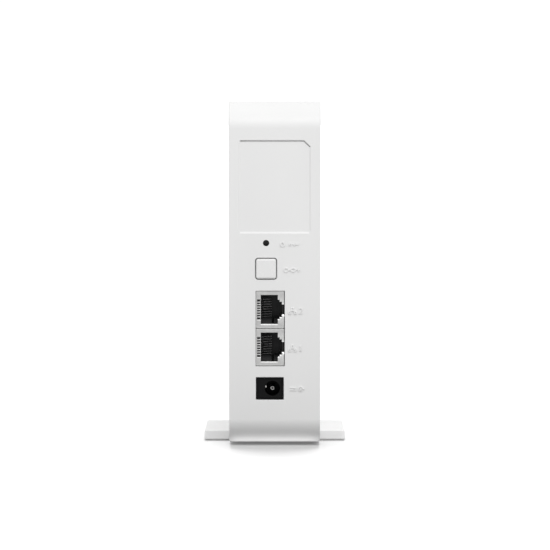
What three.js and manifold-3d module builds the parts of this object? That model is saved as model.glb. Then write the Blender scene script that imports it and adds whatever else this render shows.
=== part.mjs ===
// Mesh Wi-Fi node: a slim upright housing that stands on a cross bar, with a port panel at the back.
// Millimetres, +Z up. The origin is on the table, at the centre of the overall box.
// The port panel faces -Y, the status light faces +Y, and +X is to the right as seen from the port side.
import * as THREE from "three";
import { mergeVertices } from "three/addons/utils/BufferGeometryUtils.js";
import Module from "manifold-3d";

const wasm = await Module();
wasm.setup();

// ---------------------------------------------------------------- driving dimensions

const BODY = { width: 37.5, rear: -40, front: 40.6, bottom: 1, top: 142.5, corner: 14, wall: 2 };
const SEAM = { y: 0.3, gap: 0.12, tongue: 1, width: 26, reach: 4, play: 0.15 };
const PANEL = { thickness: 1.8, sink: 0.4, play: 0.15 };
const LEDGE = { height: 1.2, width: 1.2, play: 0.2 };
const PANEL_FACE = BODY.width / 2 - PANEL.sink - PANEL.thickness;
const REAR_WALL = BODY.rear + BODY.wall;
const STAND = { width: 59.4, depth: 34.6, draft: 0.25, bottom: 0.75, top: 4.4, skin: 1.8, corner: 1.2 };
const CHANNEL = { half: STAND.depth / 2 + 0.3, top: STAND.top + 0.2 };
const SOLE = { rim: 0.38, rimInset: 0.3, core: 0.65, coreInset: 2.2 };
const STAND_SCREW = { y: [-9.5, 9.5], head: 2.6, headHeight: 1.4, shank: 1.1, length: 9.6 };
const STAND_POST = { radius: 3.2, height: 9.4, hole: 1.25, holeDepth: 8.4 };

// The board stands upright, parallel to the sides. Its component face looks towards +X.
const BOARD = { face: -7.8, thickness: 1.6, y: [-35.1, 35], z: [10, 134], corner: 3 };
const BOARD_FIXINGS = [[-31, 126], [30, 126], [30, 16], [-6, 14]];
const BOARD_SCREW = { head: 2.5, headHeight: 1.6, shank: 1.15, length: 6.2 };
const BOARD_POST = { radius: 3, hole: 1.35, play: 0.1 };

// Port panel: places are [x, z] on the rear face.
const LABEL = { x: [-14.4, 14.4], z: [89, 126.2], cut: 2.6, corner: 0.8, depth: 0.45, slope: 0.45 };
const RESET = { at: [-3.5, 84.6], hole: 1.3, tubeWall: 1.4, tube: 1.6 };
const BUTTON = { at: [-3.5, 74.1], size: 8.2, corner: 0.85, gap: 0.42, proud: 0.6, skin: 1.2, stem: 1.5 };
const FLANGE = { overhang: 1, thickness: 0.8, play: 0.2 };
const COLLAR = { play: 0.45, wall: 1, height: 2.6 };
const JACK = { x: -1.88, z: [41.8, 57.3], height: 11.65, width: 15.3, depth: 16, recess: 0.5, sheet: 0.3 };
const INLET = { x: -1.97, z: 24.8, height: 11, width: 9, depth: 14, recess: 0.4, bore: 3.1, boreX: -0.9 };
const PORT_GAP = 0.15;

const HOOK = { z: [36, 71, 106], thick: 1, long: 3.6, wide: 5, barb: 0.8 };
const VENT = { slots: 13, pitch: 3.6, width: 1.6, height: 12, rows: [24, 112] };
const COAX = { radius: 0.6, plug: 1.6, sockets: [[8, 127.5], [30, 92]] };
const LIGHT = { width: 2, height: 9, z: 111.5, gap: 0.15, rim: 1.2, rimHeight: 1.5 };

// How far joined solids reach into each other.
const BITE = 0.5;

// ---------------------------------------------------------------- materials

const finish = (color, roughness, metalness = 0) =>
  new THREE.MeshStandardMaterial({ color, roughness, metalness });

const MATERIAL = {
  white: finish(0xe9e9e8, 0.38),
  stand: finish(0xededec, 0.4),
  sole: finish(0xc9c9c7, 0.8),
  black: finish(0x17171a, 0.5),
  shield: finish(0xb9babb, 0.32, 1),
  steel: finish(0x9a9a98, 0.35, 1),
  gold: finish(0xc9a24b, 0.3, 1),
  board: finish(0x1d5a38, 0.5),
  chip: finish(0x202124, 0.45),
  sink: finish(0xa4a6a8, 0.4, 1),
  pad: finish(0x8fa3ad, 0.9),
  lens: finish(0xdfe6ea, 0.2),
  lamp: finish(0xf4f2e4, 0.3),
  coax: finish(0x2a2a2d, 0.6),
  can: finish(0x8f9296, 0.35, 1),
  copper: finish(0x3a3028, 0.5),
};

// ---------------------------------------------------------------- geometry helpers

// An outline's arc gets twice this many segments.
const FINE_ARC = 6;
const SMALL_ARC = 2;
const AXIS = {
  x: [new THREE.Vector3(0, 1, 0), new THREE.Vector3(0, 0, 1), new THREE.Vector3(1, 0, 0)],
  y: [new THREE.Vector3(1, 0, 0), new THREE.Vector3(0, 0, 1), new THREE.Vector3(0, -1, 0)],
  z: [new THREE.Vector3(1, 0, 0), new THREE.Vector3(0, 1, 0), new THREE.Vector3(0, 0, 1)],
};

// A closed geometry as a solid that can be joined and cut.
function solid(geometry) {
  const bare = geometry.index ? geometry.toNonIndexed() : geometry.clone();
  bare.deleteAttribute("normal");
  bare.deleteAttribute("uv");
  const merged = mergeVertices(bare, 1e-4);
  const vertProperties = merged.attributes.position.array;
  return new wasm.Manifold(
    new wasm.Mesh({ numProp: 3, vertProperties, triVerts: new Uint32Array(merged.index.array) }),
  );
}

function geometryOf(shape) {
  if (shape.isBufferGeometry) return shape;
  const mesh = shape.getMesh();
  const made = new THREE.BufferGeometry();
  made.setAttribute("position", new THREE.BufferAttribute(mesh.vertProperties, 3));
  made.setIndex(new THREE.BufferAttribute(mesh.triVerts, 1));
  made.computeVertexNormals();
  return made;
}

function part(name, shape, material, position = [0, 0, 0]) {
  const mesh = new THREE.Mesh(geometryOf(shape), material);
  mesh.name = name;
  mesh.position.set(...position);
  return mesh;
}

function group(position, ...children) {
  const made = new THREE.Group();
  made.position.set(...position);
  made.add(...children);
  return made;
}

function block([x0, x1], [y0, y1], [z0, z1]) {
  const made = new THREE.BoxGeometry(x1 - x0, y1 - y0, z1 - z0);
  return solid(made.translate((x0 + x1) / 2, (y0 + y1) / 2, (z0 + z1) / 2));
}

// A shape drawn across an axis, as [y, z] for x, [x, z] for y and [x, y] for z, and carried along it.
function prism(axis, shape, [from, to], options = {}) {
  const made = new THREE.ExtrudeGeometry(shape, {
    depth: to - from,
    curveSegments: SMALL_ARC,
    bevelEnabled: false,
    ...options,
  });
  made.applyMatrix4(new THREE.Matrix4().makeBasis(...AXIS[axis]));
  const start = axis === "y" ? to : from;
  return solid(made.translate(axis === "x" ? start : 0, axis === "y" ? start : 0, axis === "z" ? start : 0));
}

// A round bar along an axis; the place is given across the axis in the same order as for prism.
function rod(axis, radius, [u, v], [from, to], segments = 20) {
  const outline = new THREE.Shape();
  for (let i = 0; i < segments; i++) {
    const turn = (i / segments) * 2 * Math.PI;
    const point = [u + radius * Math.cos(turn), v + radius * Math.sin(turn)];
    i ? outline.lineTo(...point) : outline.moveTo(...point);
  }
  return prism(axis, outline, [from, to]);
}

function rounded([u0, u1], [v0, v1], radius) {
  const outline = new THREE.Shape();
  outline.moveTo(u0 + radius, v0);
  outline.lineTo(u1 - radius, v0);
  outline.absarc(u1 - radius, v0 + radius, radius, -Math.PI / 2, 0);
  outline.lineTo(u1, v1 - radius);
  outline.absarc(u1 - radius, v1 - radius, radius, 0, Math.PI / 2);
  outline.lineTo(u0 + radius, v1);
  outline.absarc(u0 + radius, v1 - radius, radius, Math.PI / 2, Math.PI);
  outline.lineTo(u0, v0 + radius);
  outline.absarc(u0 + radius, v0 + radius, radius, Math.PI, 1.5 * Math.PI);
  return outline;
}

function polygon(points) {
  return new THREE.Shape(points.map(([u, v]) => new THREE.Vector2(u, v)));
}

// A strip of sheet or wire of even thickness along a line of points, drawn as a closed outline.
function strip(points, thickness) {
  const sides = [[], []];
  points.forEach((point, i) => {
    const before = points[Math.max(i - 1, 0)];
    const after = points[Math.min(i + 1, points.length - 1)];
    const along = new THREE.Vector2(after[0] - before[0], after[1] - before[1]).normalize();
    const half = thickness / 2;
    sides[0].push([point[0] - along.y * half, point[1] + along.x * half]);
    sides[1].unshift([point[0] + along.y * half, point[1] - along.x * half]);
  });
  return polygon([...sides[0], ...sides[1]]);
}

const around = (centre, size) => [centre - size / 2, centre + size / 2];
const join = (solids) => solids.reduce((sum, next) => sum.add(next));
const cutAll = (whole, cuts) => cuts.reduce((left, cut) => left.subtract(cut), whole);

// ---------------------------------------------------------------- housing

// The housing's side outline in [y, z], moved inwards by inset, with the channel for the stand's bar.
function sideOutline(inset) {
  const radius = BODY.corner - inset;
  const [rear, front] = [BODY.rear + inset, BODY.front - inset];
  const [bottom, top] = [BODY.bottom + inset, BODY.top - inset];
  const [half, roof] = [CHANNEL.half + inset, CHANNEL.top + inset];
  const outline = new THREE.Shape();
  outline.moveTo(rear + radius, bottom);
  outline.lineTo(-half, bottom);
  outline.lineTo(-half, roof);
  outline.lineTo(half, roof);
  outline.lineTo(half, bottom);
  outline.lineTo(front - radius, bottom);
  outline.absarc(front - radius, bottom + radius, radius, -Math.PI / 2, 0);
  outline.lineTo(front, top - radius);
  outline.absarc(front - radius, top - radius, radius, 0, Math.PI / 2);
  outline.lineTo(rear + radius, top);
  outline.absarc(rear + radius, top - radius, radius, Math.PI / 2, Math.PI);
  outline.lineTo(rear, bottom + radius);
  outline.absarc(rear + radius, bottom + radius, radius, Math.PI, 1.5 * Math.PI);
  return outline;
}

const sidePrism = (inset, span) => prism("x", sideOutline(inset), span, { curveSegments: FINE_ARC });

// The wall that wraps round the back, top, front and bottom, with ledges inside that the side panels rest on.
function wrapBand() {
  const half = BODY.width / 2;
  const shell = sidePrism(0, [-half, half]);
  const hollow = sidePrism(BODY.wall, [-half - 1, half + 1]);
  const core = sidePrism(BODY.wall + LEDGE.height, [-half, half]);
  const seat = PANEL_FACE - LEDGE.play;
  const ledges = [-1, 1].map((side) => {
    const span = side < 0 ? [-seat, -seat + LEDGE.width] : [seat - LEDGE.width, seat];
    return sidePrism(BODY.wall - BITE, span).subtract(core);
  });
  return join([shell.subtract(hollow), ...ledges]);
}

// Everything between two places along the housing's depth.
const slice = (y) => block(around(0, 2 * BODY.width), y, around(BODY.top / 2, 2 * BODY.top));

// A post inside a cover, standing on the channel's roof, that takes one stand screw.
const standPost = (y) =>
  rod("z", STAND_POST.radius, [0, y], [CHANNEL.top + BITE, CHANNEL.top + STAND_POST.height]);

const standScrewHole = (y) => rod("z", STAND_POST.hole, [0, y], [0, CHANNEL.top + STAND_POST.holeDepth], 16);

function rearCover(band) {
  const through = [BODY.rear - 1, REAR_WALL + 1];
  const jackEdge = JACK.width / 2 + PORT_GAP;
  const jackRow = [Math.min(...JACK.z) - jackEdge, Math.max(...JACK.z) + jackEdge];
  const cuts = [
    labelRecess(),
    prism("y", buttonOutline(BUTTON.gap, BUTTON.corner + BUTTON.gap), through),
    rod("y", RESET.hole, RESET.at, [BODY.rear - 1, REAR_WALL + RESET.tube + 1], 24),
    block(around(JACK.x, JACK.height + 2 * PORT_GAP), through, jackRow),
    block(around(INLET.x, INLET.height + 2 * PORT_GAP), through, around(INLET.z, INLET.width + 2 * PORT_GAP)),
    standScrewHole(STAND_SCREW.y[0]),
  ];
  const half = band.intersect(slice([2 * BODY.rear, SEAM.y - SEAM.gap / 2]));
  const tube = rod("y", RESET.hole + RESET.tubeWall, RESET.at, [REAR_WALL - BITE, REAR_WALL + RESET.tube]);
  return cutAll(join([half, buttonCollar(), tube, standPost(STAND_SCREW.y[0])]), cuts);
}

// The button's square outline, grown by a margin.
function buttonOutline(margin, corner) {
  const size = BUTTON.size + 2 * margin;
  return rounded(around(BUTTON.at[0], size), around(BUTTON.at[1], size), corner);
}

// A low wall inside the rear cover that guides the button's flange.
function buttonCollar() {
  const inside = FLANGE.overhang + COLLAR.play;
  const top = REAR_WALL + COLLAR.height;
  const wall = prism("y", buttonOutline(inside + COLLAR.wall, 1), [REAR_WALL - BITE, top]);
  return wall.subtract(prism("y", buttonOutline(inside, 0.6), [REAR_WALL, top + 1]));
}

// The shallow field for a rating label: sloping walls, small corners, and one corner cut at 45 degrees.
function labelRecess() {
  const { x, z, cut, corner, depth, slope } = LABEL;
  const outline = new THREE.Shape();
  outline.moveTo(x[0] + corner, z[0]);
  outline.lineTo(x[1] - corner, z[0]);
  outline.lineTo(x[1], z[0] + corner);
  outline.lineTo(x[1], z[1] - cut);
  outline.lineTo(x[1] - cut, z[1]);
  outline.lineTo(x[0] + corner, z[1]);
  outline.lineTo(x[0], z[1] - corner);
  outline.lineTo(x[0], z[0] + corner);
  const bevel = { bevelEnabled: true, bevelThickness: depth, bevelSize: slope, bevelSegments: 1 };
  return prism("y", outline, [BODY.rear - 1, BODY.rear], bevel);
}

function frontCover(band) {
  const inner = BODY.front - BODY.wall;
  const half = band.intersect(slice([SEAM.y + SEAM.gap / 2, 2 * BODY.front]));
  const rim = prism("y", lightOutline(LIGHT.gap + LIGHT.rim), [inner - LIGHT.rimHeight, inner + BITE]);
  const cuts = [
    prism("y", lightOutline(LIGHT.gap), [inner - LIGHT.rimHeight - 1, BODY.front + 1]),
    standScrewHole(STAND_SCREW.y[1]),
  ];
  return cutAll(join([half, rim, standPost(STAND_SCREW.y[1]), ...seamTongues()]), cuts);
}

// The status light's upright window with round ends, grown by a margin.
function lightOutline(margin) {
  const width = LIGHT.width + 2 * margin;
  return rounded(around(0, width), around(LIGHT.z, LIGHT.height + 2 * margin), width / 2 - 0.01);
}

// Two tongues on the front cover that slide under the rear cover's top and bottom walls and line them up.
function seamTongues() {
  const across = around(0, SEAM.width);
  const whole = around(SEAM.y, 2 * SEAM.reach);
  const root = [SEAM.y + 0.5, SEAM.y + SEAM.reach];
  const top = BODY.top - BODY.wall - SEAM.play;
  const bottom = CHANNEL.top + BODY.wall + SEAM.play;
  return [
    block(across, whole, [top - SEAM.tongue, top]),
    block(across, root, [top - SEAM.tongue, top + SEAM.play + BITE]),
    block(across, whole, [bottom, bottom + SEAM.tongue]),
    block(across, root, [bottom - SEAM.play - BITE, bottom + SEAM.tongue]),
  ];
}

// A flat side with two rows of vent slots and snap hooks, drawn for the +X side.
function sidePanel() {
  const [inner, outer] = [PANEL_FACE, PANEL_FACE + PANEL.thickness];
  const plate = sidePrism(BODY.wall + PANEL.play, [inner, outer]);
  return join([plate.subtract(ventSlots(inner, outer)), ...snapHooks(inner)]);
}

function ventSlots(inner, outer) {
  const slots = [];
  const first = SEAM.y - (VENT.pitch * (VENT.slots - 1)) / 2;
  for (const row of VENT.rows) {
    for (let i = 0; i < VENT.slots; i++) {
      const y = around(first + i * VENT.pitch, VENT.width);
      slots.push(block([inner - 1, outer + 1], y, around(row, VENT.height)));
    }
  }
  return join(slots);
}

// Hooks near the rear and front edges that pass the covers' ledges and catch behind them.
function snapHooks(inner) {
  const clear = BODY.wall + LEDGE.height + LEDGE.play;
  const under = inner - LEDGE.play - LEDGE.width - LEDGE.play;
  const edges = [[BODY.rear + clear, 1], [BODY.front - clear, -1]];
  const hooks = [];
  for (const z of HOOK.z) {
    for (const [edge, inwards] of edges) {
      const arm = around(edge + (inwards * HOOK.thick) / 2, HOOK.thick);
      const barb = around(edge - (inwards * (HOOK.barb - BITE)) / 2, HOOK.barb + BITE);
      hooks.push(block([inner - HOOK.long, inner + BITE], arm, around(z, HOOK.wide)));
      hooks.push(block([inner - HOOK.long, under], barb, around(z, HOOK.wide)));
    }
  }
  return hooks;
}

// The left side also carries the posts that the board is screwed to.
function leftPanel() {
  const plate = sidePanel().mirror([1, 0, 0]);
  const face = -PANEL_FACE;
  const seat = BOARD.face - BOARD.thickness - BOARD_POST.play;
  const posts = BOARD_FIXINGS.map((at) => rod("x", BOARD_POST.radius, at, [face - BITE, seat]));
  const holes = BOARD_FIXINGS.map((at) => rod("x", BOARD_POST.hole, at, [face + 0.8, seat + 1], 14));
  return cutAll(join([plate, ...posts]), holes);
}

// ---------------------------------------------------------------- stand

function standShell() {
  const { width, depth, draft, bottom, top, skin, corner } = STAND;
  const outline = rounded(around(0, width - 2 * draft), around(0, depth - 2 * draft), corner);
  const bevel = { bevelEnabled: true, bevelThickness: top - bottom, bevelSize: draft, bevelSegments: 1 };
  const drafted = prism("z", outline, [bottom, bottom + 1], bevel);
  const slab = drafted.intersect(block([-40, 40], [-30, 30], [bottom - 10, bottom]));
  const upright = slab.mirror([0, 0, 1]).translate([0, 0, 2 * bottom]);
  const hollow = prism("z", rounded(around(0, width - 2 * skin), around(0, depth - 2 * skin), 0.6),
    [bottom - 1, top - skin]);
  const holes = STAND_SCREW.y.map((y) => rod("z", STAND_SCREW.shank + 0.3, [0, y], [0, top + 1], 16));
  return cutAll(upright.subtract(hollow), holes);
}

function standBase() {
  const { width, depth, skin, bottom } = STAND;
  const size = [width - 2 * skin - 0.4, depth - 2 * skin - 0.4];
  const outline = rounded(around(0, size[0]), around(0, size[1]), 0.5);
  const plate = prism("z", outline, [bottom + 0.05, bottom + 1.2]);
  const holes = STAND_SCREW.y.map((y) => rod("z", STAND_SCREW.head + 0.5, [0, y], [0, STAND.top], 20));
  return cutAll(plate, holes);
}

// A soft sole: its rim shows as a thin line below the shell, with a groove above it.
function standSole() {
  const layer = (inset, span) =>
    prism("z", rounded(around(0, STAND.width - 2 * inset), around(0, STAND.depth - 2 * inset), 0.8), span);
  return layer(SOLE.rimInset, [0, SOLE.rim]).add(layer(SOLE.coreInset, [0.1, SOLE.core]));
}

// A pan-head screw whose shank runs along +Z from under its head at z 0, with a cross recess.
function screw({ head, headHeight, shank, length }) {
  const profile = [
    [0, -headHeight],
    [head * 0.7, -headHeight],
    [head, -headHeight * 0.6],
    [head, 0],
    [shank, 0],
    [shank, length - 1.4],
    [shank * 0.3, length],
    [0, length],
  ].map(([r, z]) => new THREE.Vector2(r, z));
  const turned = solid(new THREE.LatheGeometry(profile, 12).rotateX(Math.PI / 2));
  const reach = head * 0.55;
  const slot = around(0, 0.5);
  const deep = [-headHeight - 1, -headHeight * 0.45];
  const cross = block([-reach, reach], slot, deep).add(block(slot, [-reach, reach], deep));
  return turned.subtract(cross);
}

function stand() {
  const seat = STAND.top - STAND.skin - 0.05;
  const screws = STAND_SCREW.y.map((y, i) =>
    part(`stand_screw_${i + 1}`, screw(STAND_SCREW), MATERIAL.steel, [0, y, seat]));
  return group([0, 0, 0],
    part("stand_shell", standShell(), MATERIAL.stand),
    part("stand_base", standBase(), MATERIAL.stand),
    part("stand_sole", standSole(), MATERIAL.sole),
    ...screws,
  );
}

// ---------------------------------------------------------------- button

// The pairing button's cap: proud of the panel, with a flange that keeps it in and a stem for the switch.
function buttonCap() {
  const square = (margin, corner, span) => {
    const side = around(0, BUTTON.size + 2 * margin);
    return prism("y", rounded(side, side, corner), span);
  };
  const back = BODY.wall + FLANGE.play;
  const cap = square(0, BUTTON.corner, [-BUTTON.proud, back + 0.1]);
  const flange = square(FLANGE.overhang, 1, [back, back + FLANGE.thickness]);
  const hollow = square(-BUTTON.skin, 0.6, [BUTTON.skin - BUTTON.proud, back + 2]);
  const stem = rod("y", BUTTON.stem, [0, 0], [0, SWITCH.tip - BODY.rear - 0.1], 16);
  return cap.add(flange).subtract(hollow).add(stem);
}

// ---------------------------------------------------------------- switches

const SWITCH = { tip: -35.2, face: -32.8, depth: 4.2, width: 6.2, height: 7, plunger: 1.65, sleeve: 1.5 };

// A side-push switch on the board, with its plunger's centre on the rear cover's button or pinhole.
function switchBody(centreX) {
  const { face, depth, width, height, plunger, sleeve } = SWITCH;
  const body = block([0.1, height], [face, face + depth], [-width / 2, width / 2]);
  const legs = [-1, 1].map((side) =>
    block([0.1, 1.4], [face + depth - 0.5, face + depth + 1.6], around(side * (width / 2 - 0.9), 0.8)));
  return join([body, ...legs]).subtract(rod("y", plunger + 0.1, [centreX, 0], [face - 1, face + sleeve]));
}

function switchPlunger() {
  return rod("y", SWITCH.plunger, [0, 0], [SWITCH.tip, SWITCH.face + SWITCH.sleeve - 0.6]);
}

// ---------------------------------------------------------------- network jack

const PLUG = { x: [-5.7, 1.35], half: 5.9, steps: [[2.1, 3.9], [3, 3.1]], latch: 2 };
const CONTACT = { count: 8, pitch: 1.016, wire: 0.32, width: 0.36 };
const CAVITY_DEPTH = 13;

// The stepped outline that a network plug and its latch pass through, in [x, z] about the port's middle.
function plugOutline(latchEnd, grow = 0) {
  const [left, right] = PLUG.x;
  const upper = [[right, PLUG.half + grow]];
  let edge = right;
  for (const [x, half] of PLUG.steps) {
    upper.push([edge, half], [x, half]);
    edge = x;
  }
  upper.push([edge, PLUG.latch], [latchEnd, PLUG.latch]);
  const lower = upper.map(([x, z]) => [x, -z]).reverse();
  return polygon([[left, PLUG.half + grow], ...upper, ...lower, [left, -PLUG.half - grow]]);
}

// Drawn steel shield: open on the board side, with the plug's outline and eight contact slots in its front.
function jackShield() {
  const { sheet, depth, width } = JACK;
  const [left, right] = around(JACK.x, JACK.height);
  const box = block([left, right], [0, depth], [-width / 2, width / 2]);
  const inside = block([left - 1, right - sheet], [sheet, depth - sheet], around(0, width - 2 * sheet));
  const opening = prism("y", plugOutline(right + 1), [-1, sheet + 0.5]);
  const comb = [PLUG.x[0] - 1.25, PLUG.x[0] + 0.1];
  const slots = contactPlaces().map((z) => block(comb, [-1, sheet + 0.5], around(z, 0.5)));
  const latchGap = block([right - 1, right + 1], [-1, 3], [-PLUG.latch, PLUG.latch]);
  const tabs = [-1, 1].map((side) => block(PLUG.x.map((x, i) => x + (i ? -0.3 : 0.3)), [0, 4.2],
    [side * PLUG.half, side * (PLUG.half + 0.28)].sort((a, b) => a - b)));
  return join([box.subtract(inside).subtract(join([opening, latchGap, ...slots])), ...tabs]);
}

const contactPlaces = () =>
  Array.from({ length: CONTACT.count }, (_, i) => (i - (CONTACT.count - 1) / 2) * CONTACT.pitch);

// Black insert that guides the plug, with room at its board side for the contact springs.
function jackInsert() {
  const { sheet, depth, width } = JACK;
  const [left, right] = around(JACK.x, JACK.height);
  const body = block([left + 0.15, right - sheet - 0.1], [sheet + 0.1, depth - sheet - 0.1],
    [0.1 + sheet - width / 2, width / 2 - sheet - 0.1]);
  const cavity = prism("y", plugOutline(right - sheet - 0.6), [-1, CAVITY_DEPTH]);
  const tabRoom = block([PLUG.x[0], PLUG.x[1]], [-1, 4.4], [-PLUG.half - 0.45, PLUG.half + 0.45]);
  const latchRoom = block([right - 1.5, right + 1], [-1, 3], [-PLUG.latch, PLUG.latch]);
  const springRoom = block([left + 0.5, PLUG.x[0] + 0.1], [-1, depth - 1.6], [-4.7, 4.7]);
  return body.subtract(join([cavity, tabRoom, latchRoom, springRoom]));
}

// Eight contact springs on their carrier: each runs forward, bends behind the front and slopes back inwards.
function jackContacts() {
  const left = JACK.x - JACK.height / 2;
  const outer = left + 0.9;
  const inner = outer + 0.9;
  const path = [[outer, 13.6], [outer, 1.5], [outer + 0.15, 1.05], [outer + 0.45, 0.85], [inner - 0.1, 1.05],
    [inner + 0.1, 1.5], [inner + 4.7, 10.2]];
  const springs = contactPlaces().map((z) => prism("z", strip(path, CONTACT.wire), around(z, CONTACT.width)));
  const carrier = block([left + 0.65, left + 1.6], [12.4, 14.2], [-4.4, 4.4]);
  return join([carrier, ...springs]);
}

function jack(index, z) {
  return group([0, BODY.rear + JACK.recess, z],
    part(`jack_shield_${index}`, jackShield(), MATERIAL.shield),
    part(`jack_insert_${index}`, jackInsert(), MATERIAL.black),
    part(`jack_contacts_${index}`, jackContacts(), MATERIAL.gold),
  );
}

// ---------------------------------------------------------------- power inlet

const BORE_DEPTH = 9.6;

function inletHousing() {
  const { height, width, depth, bore, boreX, x } = INLET;
  const left = x - height / 2;
  const flange = block([left, left + height], [0, 3.6], [-width / 2, width / 2]);
  const foot = block([left, boreX], [3, depth], [-width / 2 + 0.3, width / 2 - 0.3]);
  const barrel = rod("y", width / 2 - 0.3, [boreX, 0], [3, depth], 28);
  const cuts = [
    rod("y", bore, [boreX, 0], [-1, BORE_DEPTH], 28),
    rod("y", 1.15, [boreX, 0], [BORE_DEPTH - 1, depth + 1], 16),
    block([boreX - bore - 1.7, boreX - bore + 0.6], [1.4, depth + 1], [-1.7, 1.7]),
  ];
  return cutAll(join([flange, foot, barrel]), cuts);
}

// The centre pin, with a round nose and a tail through the housing's back.
function inletPin() {
  const end = INLET.depth + 1.4;
  const profile = [[0, 1.1], [0.55, 1.2], [0.9, 1.6], [1, 2.1], [1, end], [0, end]];
  return solid(new THREE.LatheGeometry(profile.map(([r, y]) => new THREE.Vector2(r, y)), 16));
}

// The leaf that presses on the plug's sleeve.
function inletLeaf() {
  const wall = INLET.boreX - INLET.bore;
  const bends = [[wall - 1.25, 11], [wall - 0.4, 7.4], [wall + 0.4, 4.4]];
  const path = [[wall - 1.3, INLET.depth + 1], ...bends, [wall - 0.2, 3]];
  return prism("z", strip(path, 0.35), [-1.4, 1.4]);
}

function inlet() {
  return group([0, BODY.rear + INLET.recess, INLET.z],
    part("inlet_housing", inletHousing(), MATERIAL.black),
    part("inlet_pin", inletPin(), MATERIAL.shield, [INLET.boreX, 0, 0]),
    part("inlet_leaf", inletLeaf(), MATERIAL.shield),
  );
}

// ---------------------------------------------------------------- board and what is on it

function boardPlate() {
  const plate = prism("x", rounded(BOARD.y, BOARD.z, BOARD.corner), [-BOARD.thickness, 0]);
  const holes = BOARD_FIXINGS.map((at) => rod("x", 1.6, at, [-BOARD.thickness - 1, 1], 16));
  return cutAll(plate, holes);
}

// A low package on the board: width along y, height along z, and how far it stands up.
const chip = (size) => block([0.1, size[2]], around(0, size[0]), around(0, size[1]));

// A drawn can over a radio: four walls and a lid, open towards the board.
function radioCan(width, height) {
  const lid = block([0.1, 2.8], around(0, width), around(0, height));
  return lid.subtract(block([-1, 2.5], around(0, width - 0.6), around(0, height - 0.6)));
}

function heatSink() {
  const [width, height, base, fins] = [30, 32, 2, 8];
  const plate = block([0, base], around(0, width), around(0, height));
  const pitch = (width - 1) / (fins - 1);
  const blades = Array.from({ length: fins }, (_, i) => {
    const y = -width / 2 + i * pitch;
    return block([base - 0.5, base + 8], [y, y + 1], around(0, height));
  });
  return join([plate, ...blades]);
}

// A can capacitor on its plastic base, with the vent-side rim rounded.
function capacitor(radius, height) {
  const profile = [[0, 1.2], [radius, 1.2], [radius, height - 0.6], [radius - 0.6, height], [0, height]];
  const turned = new THREE.LatheGeometry(profile.map(([r, y]) => new THREE.Vector2(r, y)), 20);
  const can = solid(turned.rotateZ(-Math.PI / 2));
  return can.add(block([0.1, 1.4], around(0, radius * 2.05), around(0, radius * 2.05)));
}

function choke(size) {
  const body = block([0.1, 4], around(0, size), around(0, size));
  return body.subtract(rod("x", size * 0.3, [0, 0], [3.4, 5], 16));
}

function lightPipe() {
  const half = LIGHT.width / 2;
  const face = BODY.front - 0.02;
  const bend = polygon([[-half, face - 5], [-half, face], [half, face], [half, face - 6.2], [-4.4, 27.4],
    [-7.2, 27.4], [-7.2, 29.6]]);
  const long = prism("z", bend, around(LIGHT.z, LIGHT.height));
  const lens = prism("y", lightOutline(0), [face - 5, face + 1]);
  const behind = block([-20, 20], [0, face - 4.5], [0, 160]);
  return long.intersect(behind.add(lens));
}

// A thin antenna board, stuck to the panel behind it.
const antennaBoard = (size) => block([0, 0.8], around(0, size[0]), around(0, size[1]));

// Coax lead with an eight-sided section, from an antenna to its socket on the board.
function coax(points) {
  const places = points.map((point) => new THREE.Vector3(...point));
  const route = new THREE.CatmullRomCurve3(places, false, "centripetal");
  const section = new THREE.Shape();
  for (let i = 0; i < 8; i++) {
    const turn = (i / 8) * 2 * Math.PI;
    const corner = [COAX.radius * Math.cos(turn), COAX.radius * Math.sin(turn)];
    i ? section.lineTo(...corner) : section.moveTo(...corner);
  }
  const steps = Math.round(route.getLength() / 2.8);
  return new THREE.ExtrudeGeometry(section, { steps, extrudePath: route, bevelEnabled: false });
}

function coaxSocket() {
  return rod("x", 1.1, [0, 0], [0.1, 1.4], 12).add(block([0.1, 0.5], around(0, 3), around(0, 3)));
}

// The crimped plug on a lead's end, pressed over its socket.
const coaxPlug = () => rod("x", COAX.plug, [0, 0], [1.6, 2.9], 14);

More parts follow.
